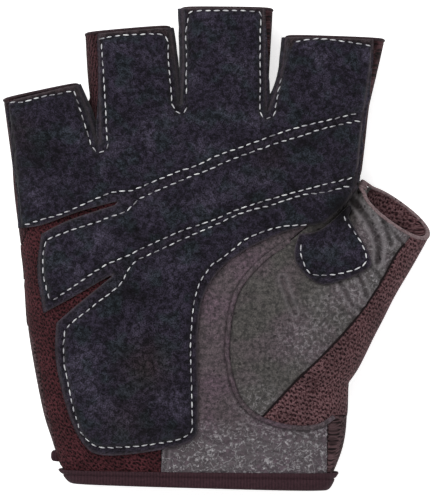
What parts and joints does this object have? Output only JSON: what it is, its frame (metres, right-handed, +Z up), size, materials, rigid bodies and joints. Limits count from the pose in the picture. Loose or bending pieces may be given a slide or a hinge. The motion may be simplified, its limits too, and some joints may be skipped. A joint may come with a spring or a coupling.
{
  "type": "weightlifting glove",
  "caption": "Fingerless weightlifting glove for the right hand, with a suede and leather palm, knit back, open finger and thumb stalls and a bound wrist, lying palm up.",
  "frame": {"origin": "under the middle of the glove's box, on the surface that it lies on", "axes": "+Y from the wrist to the fingertips, +X across the palm to the thumb, +Z up out of the palm"},
  "size_m": [0.124, 0.1404, 0.0258],
  "materials": {
    "split_suede": "brushed split suede, blue-black",
    "grain_leather": "soft grained leather with pores and creases",
    "knit_mesh": "warp knit with a close rib, brown-black",
    "binding_tape": "ribbed binding tape"
  },
  "bodies": {
    "root": {"suede_palm": "split_suede", "thumb_patch": "split_suede", "palm_leather": "grain_leather", "thumb_leather": "grain_leather", "seam_welt": "grain_leather", "palm_mesh": "knit_mesh", "thumb_mesh": "knit_mesh", "side_wall_little": "knit_mesh", "side_wall_little_ring": "knit_mesh", "side_wall_ring_middle": "knit_mesh", "side_wall_middle_index": "knit_mesh", "side_wall_index": "knit_mesh", "back_panel": "knit_mesh", "wrist_binding": "binding_tape", "pull_tab": "binding_tape"}
  },
  "joints": []
}
